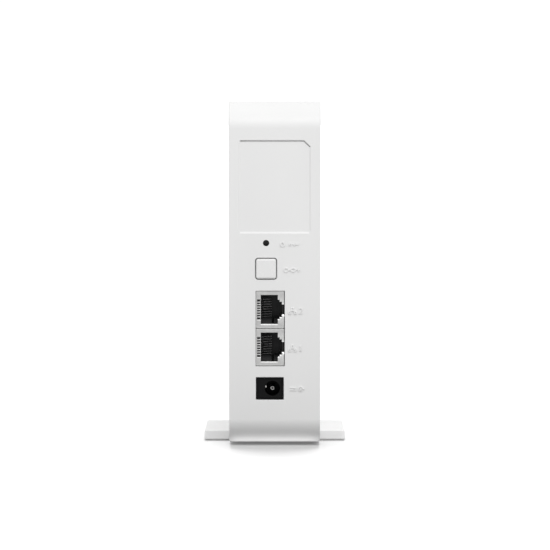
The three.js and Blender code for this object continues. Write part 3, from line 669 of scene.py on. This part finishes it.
def stand_shell():
    size = STAND_HIGH - STAND_LOW
    draft, skin = 0.25 * MM, 1.8 * MM
    outline = centred(0, 0, size.x, size.y, 1.5 * MM, 10)
    top = [(STAND_HIGH.z - d, draft + g) for d, g in reversed(quarter(EDGE))]
    low = [(STAND_LOW.z, 0.12 * MM), (STAND_LOW.z + 0.12 * MM, 0)]
    shell = sweep(outline, "z", low + top)
    hollow = sweep(centred(0, 0, size.x - 2 * skin, size.y - 2 * skin, 0.6 * MM), "z",
                   [(STAND_LOW.z - MM, 0), (STAND_HIGH.z - skin, 0)])
    screws = [middle(f"stand_screw_{i}").y for i in PAIR]
    holes = [rod("z", (0, y), 1.4 * MM, 0, STAND_HIGH.z + MM, 24) for y in screws]
    cut(shell, hollow, *holes)
    return finish(shell, "stand_bar", STAND_WHITE, ["stand_shell"])


def stand_sole():
    """The sole's rim shows as a thin line; its core fills the groove above, further in."""
    low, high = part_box("stand_sole")
    outline = centred(0, 0, high.x - low.x, high.y - low.y, 1.2 * MM, 10)
    rim, core = 0.46 * MM, 0.9 * MM
    profile = [(low.z, 0.1 * MM), (low.z + 0.1 * MM, 0), (rim - 0.08 * MM, 0), (rim, 0.08 * MM),
               (rim, core), (high.z, core)]
    return finish(sweep(outline, "z", profile), "stand_tread", SOLE, ["stand_sole"])


# ---- button and switches


def pair_button():
    low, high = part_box("pair_button")
    face = low.y
    flange = BACK_WALL + 0.2 * MM
    soft = [(face + d, g) for d, g in quarter(CAP.round, 10)]
    profile = soft + [(flange, 0), (flange, -1 * MM), (flange + 0.8 * MM, -1 * MM)]
    cap = sweep(cap_outline(0, CAP.corner), "y", profile)
    skin = 1.2 * MM
    hollow = sweep(cap_outline(-skin, 0.6 * MM), "y", [(face + skin, 0), (high.y - 1.9 * MM + WALL, 0)])
    stem = [(face + skin / 2, 1.5 * MM), (high.y - 0.2 * MM, 1.5 * MM), (high.y, 1.3 * MM)]
    add(cut(cap, hollow), turned("y", (BUTTON.x, BUTTON.z), stem, 32))
    return finish(cap, "pair_button_cap", BUTTON_WHITE, ["pair_button"], "pair_button")


def plunger(node):
    low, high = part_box(node)
    centre = middle(node)
    radius = (high.x - low.x) / 2
    tip = [(low.y + d, radius - g) for d, g in quarter(0.5 * MM)]
    neck = [(high.y - 0.9 * MM, radius), (high.y - 0.8 * MM, radius * 0.9), (high.y, radius * 0.9)]
    piece = turned("y", (centre.x, centre.z), tip + neck)
    return finish(piece, f"{node}_pin", SWITCH_BLACK, [node], node)


# ---- network jacks

PLUG_X = (-5.7 * MM, 1.35 * MM)
PLUG_HALF = 5.9 * MM
PLUG_STEPS = ((2.1 * MM, 3.9 * MM), (3.0 * MM, 3.1 * MM))
LATCH_HALF = 2 * MM
PITCH = 1.016 * MM
CONTACT_PLACES = [(i - 3.5) * PITCH for i in range(8)]
LIP = 1.0 * MM
COMB_X = (-7.2 * MM, -5.9 * MM)
COMB_SLOT = 0.57 * MM
RAMP = [(0.6 * MM, -0.1), (0.9 * MM, 0.1), (2.3 * MM, 0.75), (3.2 * MM, 1.0)]  # depth, share of the rise


def plug_outline(z, latch_end):
    """The stepped outline for a plug and its latch. Its inset moves only the upper and lower edges."""

    def outline(inset):
        left, right = PLUG_X
        upper = [(left, PLUG_HALF), (right, PLUG_HALF)]
        edge = right
        for x, half in (*PLUG_STEPS, (latch_end, LATCH_HALF)):
            upper += [(edge, half), (x, half)]
            edge = x
        top = [(x, z + half - inset) for x, half in upper]
        return top + [(x, z - half + inset) for x, half in reversed(upper)]

    return outline


def jack_shield(index):
    """Drawn steel shield: its front edges curl in round the opening, and a comb covers the contacts."""
    node = f"jack_shield_{index}"
    low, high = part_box(node)
    z = (low.z + high.z) / 2
    skin = 0.3 * MM
    face = low.y
    outline = rounded((low.x, low.z), (high.x, high.z), 0.35 * MM, 4)
    box = sweep(outline, "y", between(face, high.y, 0.18 * MM, 0))
    end = face + LIP
    inside = block((low.x - MM, end, low.z + skin), (high.x - skin, high.y - skin, high.z - skin))
    curl = [(face - MM, -LIP), (face, -LIP), (face + 0.5 * LIP, -0.08 * LIP), (end, 0), (end + MM, 0)]
    opening = sweep(plug_outline(z, high.x + MM), "y", curl)
    comb_half = CONTACT_PLACES[-1] + COMB_SLOT / 2

    def comb_outline(inset):
        u0, u1 = COMB_X[0], PLUG_X[0] + 0.1 * MM
        v = comb_half - inset
        return [(u0, z - v), (u1, z - v), (u1, z + v), (u0, z + v)]

    comb = sweep(comb_outline, "y", mouth(face, LIP + MM, 0.9 * MM))
    latch = block((high.x - MM, face - MM, z - LATCH_HALF), (high.x + MM, face + 3 * MM, z + LATCH_HALF))
    cut(box, inside, opening, comb, latch)
    bars = []
    tooth = PITCH - COMB_SLOT
    bar_x = (COMB_X[0] + COMB_X[1]) / 2
    bar_length = COMB_X[1] - COMB_X[0] + 0.3 * MM
    for lower, upper in zip(CONTACT_PLACES, CONTACT_PLACES[1:]):
        outline = centred(bar_x, z + (lower + upper) / 2, bar_length, tooth, 0.1 * MM, 3)
        bars.append(sweep(outline, "y", between(face + 0.12 * MM, face + 0.5 * MM, 0.12 * MM, 0)))
    edge, over = COMB_X[1], 0.2 * MM
    outline = rounded((edge, z - comb_half - over), (edge + over, z + comb_half + over), 0.05 * MM, 2)
    spine = sweep(outline, "y", between(face + 0.2 * MM, face + 0.55 * MM, 0.08 * MM, 0))
    add(box, together(*bars), spine)
    return finish(box, f"{node}_formed", TIN, [node])


def jack_insert(index):
    """Black insert: a room for the springs, ramps low in the cavity, a rib, and a guard at the latch."""
    node = f"jack_insert_{index}"
    low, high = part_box(node)
    shield_low, shield_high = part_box(f"jack_shield_{index}")
    z = (low.z + high.z) / 2
    front = shield_low.y + LIP + 0.05 * MM
    back = low.y + 12.6 * MM
    outline = rounded((low.x, low.z), (high.x, high.z), 0.3 * MM, 3)
    body = sweep(outline, "y", between(front, high.y, 0.2 * MM, 0.2 * MM))
    under, over = z - LATCH_HALF + 0.04 * MM, z + LATCH_HALF - 0.04 * MM
    left = high.x - 0.5 * MM
    guard = block((left, front - 0.5 * MM, under), (high.x - 0.1 * MM, front + MM, over))
    stop = block((left, front + 0.8 * MM, under), (shield_high.x - 0.03 * MM, shield_low.y + 2.9 * MM, over))
    add(body, guard, stop)
    cavity = sweep(plug_outline(z, high.x - 0.35 * MM), "y", [(front - 2 * MM, 0), (back, 0)])
    springs = block((low.x + 0.35 * MM, front + 0.5 * MM, z - 4.7 * MM),
                    (PLUG_X[0] + 0.1 * MM, high.y - MM, z + 4.7 * MM))
    cut(body, cavity, springs)
    floor_z = z - PLUG_HALF

    def ramp(x0, x1, rise):
        points = [(front + depth, floor_z + rise * share) for depth, share in RAMP]
        end, under = back + BITE, floor_z - BITE
        points += [(end, floor_z + rise), (end, under), (points[0][0], under)]
        return prism(points, "x", x0, x1)

    outline = rounded((-3.1 * MM, z - 4.6 * MM), (-2.8 * MM, z + 4.6 * MM), 0.1 * MM, 3)
    rib = sweep(outline, "y", between(back - 1.2 * MM, back + BITE, 0.1 * MM, 0))
    add(body, ramp(PLUG_X[0] - BITE, -1.2 * MM, 2.0 * MM), ramp(-0.2 * MM, PLUG_X[1] + BITE, 1.9 * MM), rib)
    return finish(body, f"{node}_moulded", INSERT_BLACK, [node])


def spline(a, b, c, d, t):
    """A value on a curve that passes through b and c."""
    square, cube = 2 * a - 5 * b + 4 * c - d, 3 * b - a - 3 * c + d
    return 0.5 * (2 * b + (c - a) * t + square * t * t + cube * t ** 3)


def curve(points, steps=6):
    """A smooth line through points, from the second to the last but one."""
    made = [points[1]]
    for p0, p1, p2, p3 in zip(points, points[1:], points[2:], points[3:]):
        for k in range(1, steps + 1):
            made.append(tuple(spline(p0[a], p1[a], p2[a], p3[a], k / steps) for a in (0, 1)))
    return made


def wire(points, width, thick, z):
    """A flat spring with rounded edges, bent along points in (x, y), at the height z."""
    rings = []
    section = centred(0, 0, thick, width, min(width, thick) * 0.35, 3)(0)
    for i, point in enumerate(points):
        before, after = points[max(i - 1, 0)], points[min(i + 1, len(points) - 1)]
        along = (after[0] - before[0], after[1] - before[1])
        length = hypot(*along)
        side = (-along[1] / length, along[0] / length)
        rings.append([(point[0] + side[0] * u, point[1] + side[1] * u, z + v) for u, v in section])
    return loft(rings)


def jack_contacts(index):
    """Eight springs: forward in the insert's slot, round an elbow, back into the cavity and across it."""
    node = f"jack_contacts_{index}"
    low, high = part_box(node)
    z = middle(f"jack_shield_{index}").z
    width, thick = 0.4 * MM, 0.32 * MM
    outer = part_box(f"jack_shield_{index}")[0].x + 0.9 * MM
    front = low.y + 1.35 * MM
    elbow = 0.5 * MM
    tip = high.x - thick / 2
    angles = [pi * i / 10 for i in range(11)]
    turn = [(outer + elbow - elbow * cos(a), front + elbow - elbow * sin(a)) for a in angles]
    inner = outer + 2 * elbow
    knots = [turn[-2], turn[-1], (inner + 0.25 * MM, front + 3.4 * MM), (inner + 0.75 * MM, front + 5.6 * MM),
             (inner + 2 * MM, front + 6.6 * MM), (tip, low.y + 9.3 * MM), (tip + MM, low.y + 9.6 * MM)]
    route = [(outer, high.y - MM), *turn[:-1], *curve(knots)]
    springs = [wire(route, width, thick, z + place) for place in CONTACT_PLACES]
    outline = rounded((low.x + 0.02 * MM, z - 4.4 * MM), (outer + 0.65 * MM, z + 4.4 * MM), 0.2 * MM, 3)
    carrier = sweep(outline, "y", between(high.y - 1.8 * MM, high.y, 0.15 * MM, 0.15 * MM))
    add(carrier, together(*springs))
    return finish(carrier, f"{node}_formed", CONTACT, [node])


# ---- power inlet

BORE = mm(x=-0.9, radius=3.1, depth=9.6)


def inlet_housing():
    low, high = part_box("inlet_housing")
    z = INLET.z
    half = (high.z - low.z) / 2
    inner = half - 0.3 * MM
    flange_end = low.y + 3.6 * MM
    block_front = [(low.y + 0.3 * MM, 0.12 * MM), (low.y + 0.42 * MM, 0), (flange_end, 0)]
    raised = [(low.y + d, 0.75 * MM + g) for d, g in quarter(0.12 * MM, 3)]
    raised.append((low.y + 0.3 * MM, 0.75 * MM))
    body = sweep(rounded((low.x, low.z), (high.x, high.z), 0.3 * MM, 4), "y", raised + block_front)
    barrel = rod("y", (BORE.x, z), inner, flange_end - BITE, high.y, 56)
    foot = block((low.x, flange_end - BITE, z - inner), (BORE.x, high.y, z + inner))
    add(body, barrel, foot)
    bore = sweep(circle(BORE.x, z, BORE.radius, 56), "y", mouth(low.y, BORE.depth, 0.2 * MM))
    pin_hole = rod("y", (BORE.x, z), 1.15 * MM, low.y + BORE.depth - MM, high.y + MM, 24)
    leaf_left = BORE.x - BORE.radius
    leaf_room = block((leaf_left - 1.7 * MM, low.y + 1.4 * MM, z - 1.7 * MM),
                      (leaf_left + 0.6 * MM, high.y + MM, z + 1.7 * MM))
    cut(body, bore, pin_hole, leaf_room)
    return finish(body, "inlet_block", INLET_BLACK, ["inlet_housing"])


def inlet_pin():
    """A pin with a thin crest round a deep conical socket."""
    low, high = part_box("inlet_pin")
    z = INLET.z
    radius = (high.x - low.x) / 2
    crest = 0.66 * MM
    socket = [(low.y + 4.5 * MM, 0.02 * MM), (low.y + 0.1 * MM, crest - 0.15 * MM)]
    tip = [(low.y + 0.06 * MM, crest - 0.13 * MM), (low.y, crest - 0.08 * MM), (low.y, crest),
           (low.y + 0.05 * MM, crest + 0.05 * MM)]
    nose = [(low.y + 0.75 * MM, radius - 0.12 * MM), (low.y + 0.95 * MM, radius - 0.02 * MM),
            (low.y + 1.2 * MM, radius)]
    piece = turned("y", (BORE.x, z), socket + tip + nose + [(high.y, radius)])
    return finish(piece, "inlet_centre_pin", NICKEL, ["inlet_pin"])


def inlet_leaf():
    low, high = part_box("inlet_leaf")
    z = INLET.z
    wall = BORE.x - BORE.radius
    tip = (wall - 0.2 * MM, low.y + 0.1 * MM)
    crest = (wall + 0.4 * MM, low.y + 1.65 * MM)
    knee = (wall - 0.4 * MM, low.y + 4.75 * MM)
    tail = (wall - 1.25 * MM, low.y + 8.35 * MM)
    end = (wall - 1.29 * MM, high.y)
    piece = wire(curve([tip, tip, crest, knee, tail, end, end]), 2.8 * MM, 0.35 * MM, z)
    rivet_y, radius = low.y + 0.5 * MM, 0.5 * MM
    head = [(rivet_y - 0.03 * MM, 0.05 * MM)] + [(rivet_y + d, radius - g) for d, g in quarter(0.16 * MM)]
    rivet = turned("y", (wall + 0.25 * MM, z + 0.4 * MM), head + [(rivet_y + 1.2 * MM, radius)], 24)
    add(piece, rivet)
    return finish(piece, "inlet_side_leaf", NICKEL, ["inlet_leaf"])


# ---- light pipe


def light_pipe():
    low, high = LIGHT_LOW, LIGHT_HIGH
    lens = sweep(light_outline(0), "y", between(high.y - 5 * MM, high.y, 0, 0.35 * MM))
    half, end = LIGHT_HALF, high.y
    elbow = [(-half, end - 5 * MM), (-half, end - 4.5 * MM), (half, end - 4.5 * MM), (half, end - 6.2 * MM),
             (-4.4 * MM, low.y), (low.x, low.y), (low.x, low.y + 2.2 * MM)]
    arm = prism(elbow, "z", low.z, high.z)
    add(arm, lens)
    return finish(arm, "light_pipe_lens", LENS, ["light_pipe"])


# ---- raised marks beside the controls

MARK = mm(width=0.38, height=0.4, root=0.15, soft=0.07)


def stroke(points, closed=False):
    """A raised line with a soft crown on the rear face, along points in (x, z)."""
    half, height, soft = MARK.width / 2, MARK.height, MARK.soft
    flank = [(half, MARK.root), (half, soft - height), (half - soft * 0.3, soft * 0.3 - height),
             (half - soft, -height)]
    section = [(-u, w) for u, w in flank] + flank[::-1]
    count = len(points)
    rings = []
    for i, point in enumerate(points):
        before = points[(i - 1) % count] if closed or i else point
        after = points[(i + 1) % count] if closed or i < count - 1 else point
        ahead, behind = unit(point, after), unit(before, point)
        along = (ahead[0] + behind[0], ahead[1] + behind[1])
        length = hypot(*along) or 1
        across = (-along[1] / length, along[0] / length)
        turn = ahead if ahead != (0, 0) else behind
        stretch = 1 / max(abs(across[0] * -turn[1] + across[1] * turn[0]), 0.5)
        rings.append([(point[0] + across[0] * u * stretch, REAR + w, point[1] + across[1] * u * stretch)
                      for u, w in section])
    return loft(rings, closed)


def unit(a, b):
    length = hypot(b[0] - a[0], b[1] - a[1])
    return ((b[0] - a[0]) / length, (b[1] - a[1]) / length) if length else (0, 0)


def mark(name, strokes):
    return finish(add(*strokes), name, MARK_WHITE, [])


def ring(x, z, radius, start=0, turn=tau, steps=20):
    """A ring, or an arc of one, with its radius in millimetres."""
    closed = turn == tau
    points = arc(x, z, radius * MM, start, steps, turn)
    return stroke(points[:-1] if closed else points, closed)


def line(x, z, *points, closed=False):
    """A stroke through points that are given in millimetres from (x, z)."""
    return stroke([(x + u * MM, z + v * MM) for u, v in points], closed)


def reset_mark(x, z):
    """For the pinhole: a turning arrow, and an arrow from a dot."""
    radius, barb = 0.85, 0.62
    u, v = radius * cos(radians(60)), radius * sin(radians(60))
    return mark("mark_reset", [
        ring(x, z, radius, radians(60), radians(300)),
        line(x, z, (u - barb, v + barb * 0.35), (u, v), (u - barb * 0.1, v - barb)),
        ring(x + 3.1 * MM, z, 0.38, steps=12),
        line(x, z, (4.4, 0), (6.6, 0)),
        line(x, z, (5.1, 0.6), (4.4, 0), (5.1, -0.6)),
    ])


def pair_mark(x, z):
    """Two rings joined by a short line, and a plus."""
    radius, apart = 0.8, 2.9
    return mark("mark_pair", [
        ring(x, z, radius),
        ring(x + apart * MM, z, radius),
        line(x, z, (radius, 0), (apart - radius, 0)),
        line(x, z, (4.3, 0), (5.7, 0)),
        line(x, z, (5, -0.7), (5, 0.7)),
    ])


NUMERALS = {
    1: [[(-0.45, 0.6), (0, 1.05), (0, -1.05)], [(-0.45, -1.05), (0.45, -1.05)]],
    2: [[*arc(0, 0.5, 0.55, radians(160), 10, -radians(205)), (-0.6, -1.05), (0.65, -1.05)]],
}


def network_mark(index, x, z):
    """A small tree of three boxes, and the port's number."""
    box, upper, lower, apart = 0.42, 0.8, -0.85, 1.1

    def square(u, v):
        corners = [(u - box, v - box), (u + box, v - box), (u + box, v + box), (u - box, v + box)]
        return line(x, z, *corners, closed=True)

    return mark(f"mark_network_{index}", [
        square(0, upper),
        square(-apart, lower),
        square(apart, lower),
        line(x, z, (0, upper - box), (0, 0)),
        line(x, z, (-apart, lower + box), (-apart, 0), (apart, 0), (apart, lower + box)),
        *[line(x + 3.4 * MM, z, *points) for points in NUMERALS[index]],
    ])


def power_mark(x, z):
    """Direct current: one long line over three dashes, and a centre-positive plug sign."""
    plug, dash = 3.1, 0.28
    return mark("mark_power", [
        line(x, z, (-1.25, 0.45), (1.25, 0.45)),
        *[line(x, z, (u - dash, -0.55), (u + dash, -0.55)) for u in (-0.95, 0, 0.95)],
        ring(x + plug * MM, z, 0.85, radians(30), radians(300)),
        ring(x + plug * MM, z, 0.22, steps=10),
        line(x, z, (plug + 0.22, 0), (plug + 1.5, 0)),
    ])


# ---- packages on the board


LEAD = mm(reach=0.9, knee=0.4, thick=0.14, width=0.38)


def lead_shape(low, part_line, end, out):
    """A gull-wing lead's side view: out from the body at its part line, down to the board and out."""
    thick = LEAD.thick
    root, knee, toe = end + out * 0.02 * MM, end + out * LEAD.knee, end + out * LEAD.reach
    return [(part_line + thick, root), (part_line + thick, knee), (low + thick, knee), (low + thick, toe),
            (low, toe), (low, knee - out * thick), (part_line, knee - out * thick), (part_line, root)]


def package(node, along, count, pitch):
    """A moulded package with a corner dimple, and formed leads on its two ends along an axis."""
    low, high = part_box(node)
    axis, across = (1, "z") if along == "y" else (2, "y")
    body_low, body_high = low.copy(), high.copy()
    body_low[axis] += LEAD.reach
    body_high[axis] -= LEAD.reach
    part_line = (low.x + high.x) / 2
    draft = 0.12 * MM
    outline = rounded((body_low.y, body_low.z), (body_high.y, body_high.z), 0.15 * MM, 3)
    body = sweep(outline, "x", [(low.x + 0.08 * MM, draft), (part_line, 0), (high.x - 0.05 * MM, draft),
                                (high.x, draft * 1.5)])
    dimple = [(high.x - 0.12 * MM, 0.3 * MM), (high.x + 0.1 * MM, 0.42 * MM)]
    cut(body, turned("x", (body_low.y + 1.1 * MM, body_high.z - 1.1 * MM), dimple, 20))
    leads = []
    centre = (low[3 - axis] + high[3 - axis]) / 2
    half = LEAD.width / 2
    for end, out in ((body_low[axis], -1), (body_high[axis], 1)):
        for i in range(count):
            place = centre + (i - (count - 1) / 2) * pitch
            leads.append(prism(lead_shape(low.x, part_line, end, out), across, place - half, place + half))
    finish(together(*leads), f"{node}_leads", CAN, [])
    return finish(body, f"{node}_package", EPOXY, [node])


# ---- pieces that keep their CAD shape

KEPT = [
    (STAND_WHITE, ["stand_base"]),
    (ZINC, [*[f"stand_screw_{i}" for i in PAIR], *[f"board_screw_{i}" for i in range(1, 5)]]),
    (BOARD_GREEN, ["main_board"]),
    (ANTENNA_MASK, [f"antenna_{i}" for i in PAIR]),
    (JACKET, [f"antenna_lead_{i}" for i in PAIR]),
    (SWITCH_BLACK, ["pair_switch", "reset_switch"]),
    (EPOXY, ["processor", "power_choke", *[f"radio_chip_{i}" for i in PAIR]]),
    (CAN, ["clock_crystal", *[f"{name}_{i}" for name in ("radio_can", "capacitor") for i in PAIR]]),
    (GOLD, [f"{name}_{i}" for name in ("coax_socket", "coax_plug") for i in PAIR]),
    (ALUMINIUM, ["heat_sink"]),
    (PAD, ["thermal_pad"]),
    (LAMP, ["status_led"]),
]
NOT_SOFTENED = ("antenna_lead_1", "antenna_lead_2", "heat_sink")


def keep_nodes():
    """The board, its parts, screws and antennas: softened edges and their own finishes."""
    for material, names in KEPT:
        for name in names:
            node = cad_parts[name]
            node.data.materials.clear()
            node.data.materials.append(material)
            if name not in NOT_SOFTENED:
                soften(node)


def soften(node):
    """Joins the faces' edges and rounds the sharp ones."""
    join = node.modifiers.new("join", "WELD")
    join.merge_threshold = 0.001 * MM
    bevel = node.modifiers.new("soften", "BEVEL")
    bevel.width = 0.08 * MM
    bevel.segments = 2
    bevel.limit_method = "ANGLE"
    bevel.angle_limit = radians(50)
    bevel.harden_normals = True


# ---- assembly

shell = rear_cover()
front_cover()
side_panel(-1, "left_panel_moulded", "left_panel")
side_panel(1, "right_panel_moulded", "right_panel")
stand_shell()
stand_sole()
pair_button()
plunger("pair_plunger")
plunger("reset_plunger")
for number in PAIR:
    jack_shield(number)
    jack_insert(number)
    jack_contacts(number)
inlet_housing()
inlet_pin()
inlet_leaf()
light_pipe()
reset_mark(3.3 * MM, 84.15 * MM)
pair_mark(4.7 * MM, 73.6 * MM)
network_mark(2, 7.3 * MM, 56.85 * MM)
network_mark(1, 7.3 * MM, 41.45 * MM)
power_mark(7.6 * MM, 24.6 * MM)
for number in PAIR:
    package(f"line_transformer_{number}", "y", 8, 1.27 * MM)
package("memory_chip", "y", 10, 0.8 * MM)
package("flash_chip", "z", 4, 1.27 * MM)
keep_nodes()


# ---- floor, light and camera


def sheet(name, x, y, z, material):
    """A level sheet that reaches x and y metres each way."""
    plane = mesh_object(name, [(-x, -y, z), (x, -y, z), (x, y, z), (-x, y, z)], [[0, 1, 2, 3]])
    plane.data.materials.append(material)
    return plane


def floor():
    """A wide sheet of pale paper. The light it throws up comes from near_floor and the sky instead."""
    made = Surface("floor_paper", roughness=0.8)
    clouds = made.noise(0.4, 2)
    made.color(made.mix(made.ramp(clouds, 0, 1), (0.755, 0.755, 0.755), (0.765, 0.765, 0.765)))
    made.bump((made.noise(1.5 * MM, 2), 0.01 * MM))
    plane = sheet("studio_floor", 30, 30, 0, made.material)
    plane.visible_diffuse = False
    return plane


SKY, BOUNCE = 1.045, 0.75  # the sky's strength above the horizon, and below it
HORIZON = (-0.14, -0.01)  # between these heights of a direction, the one turns into the other
NEAR_BOUNCE, NEAR = 0.3, 0.07  # near_floor's strength, and how far it reaches beyond the body


def sky():
    """An even white studio, with a dimmer floor's worth of light from below."""
    world = bpy.data.worlds.new("studio")
    world.use_nodes = True
    nodes, links = world.node_tree.nodes, world.node_tree.links
    place = nodes.new("ShaderNodeTexCoord")
    split = nodes.new("ShaderNodeSeparateXYZ")
    level = nodes.new("ShaderNodeMapRange")
    with_inputs(level, From_Min=HORIZON[0], From_Max=HORIZON[1], To_Min=BOUNCE, To_Max=SKY)
    links.new(place.outputs["Generated"], split.inputs["Vector"])
    links.new(split.outputs["Z"], level.inputs["Value"])
    background = with_inputs(nodes["Background"], Color=(1, 1, 1, 1))
    links.new(level.outputs["Result"], background.inputs["Strength"])
    bpy.context.scene.world = world


def soft_light(name, place, aim, size, power):
    lamp = bpy.data.lights.new(name, "AREA")
    lamp.shape = "RECTANGLE"
    lamp.size, lamp.size_y = size
    lamp.energy = power
    return put_light(name, lamp, place, Vector(aim) - Vector(place))


def put_light(name, lamp, place, direction):
    light = bpy.data.objects.new(name, lamp)
    light.location = place
    light.rotation_euler = Vector(direction).to_track_quat("-Z", "Y").to_euler()
    bpy.context.scene.collection.objects.link(light)
    return light


def linked(name, piece, state):
    """A light-linking group that includes only a piece, or excludes only it."""
    group = bpy.data.collections.new(name)
    group.objects.link(piece)
    group.collection_objects[0].light_linking.link_state = state
    return group


def near_floor():
    """The light that the floor close to the object throws up. The camera doesn't see it."""
    glow = bpy.data.materials.new("near_floor")
    glow.use_nodes = True
    nodes, links = glow.node_tree.nodes, glow.node_tree.links
    nodes.clear()
    light = with_inputs(nodes.new("ShaderNodeEmission"), Strength=NEAR_BOUNCE)
    out = nodes.new("ShaderNodeOutputMaterial")
    links.new(light.outputs["Emission"], out.inputs["Surface"])
    card = sheet("near_floor", HALF + NEAR, FRONT + NEAR, -MM, glow)
    card.visible_camera = card.visible_glossy = card.visible_shadow = False


def lights(paper, shell):
    """A soft key from the upper front, a wide sun on the paper, and a thin strip under the rear edge."""
    key = soft_light("key", place=(0.26, -0.85, 1.0), aim=(0, 0, 0.07), size=(0.8, 0.5), power=4.9)
    key.light_linking.receiver_collection = linked("key_receivers", paper, "EXCLUDE")
    sun = bpy.data.lights.new("over_paper", "SUN")
    sun.energy = 2.2
    sun.angle = radians(26)
    over = put_light("over_paper", sun, place=(0, 0.4, 1.0), direction=(0, -0.21, -1.0))
    over.light_linking.receiver_collection = linked("paper_only", paper, "INCLUDE")
    under = REAR + 5.4 * MM
    strip = soft_light("strip", place=(0, under, 0.2 * MM), aim=(0, under, 10 * MM),
                       size=(2 * HALF - MM, 7 * MM), power=0.00083)
    strip.visible_camera = strip.visible_glossy = False
    strip.light_linking.receiver_collection = linked("shell_only", shell, "INCLUDE")


FOCAL, SENSOR = 155.06, 36  # the lens, in millimetres
EYE = (0.16 * MM, REAR - 0.9687, 0.13692)
LOOK_DOWN = 3.86  # degrees


def camera():
    lens = bpy.data.cameras.new("camera")
    lens.lens = FOCAL
    lens.sensor_width = SENSOR
    eye = bpy.data.objects.new("camera", lens)
    eye.location = EYE
    eye.rotation_euler = (radians(90 - LOOK_DOWN), 0, 0)
    bpy.context.scene.collection.objects.link(eye)
    bpy.context.scene.camera = eye


sky()
near_floor()
lights(floor(), shell)
camera()
bpy.context.scene.view_settings.view_transform = "Standard"
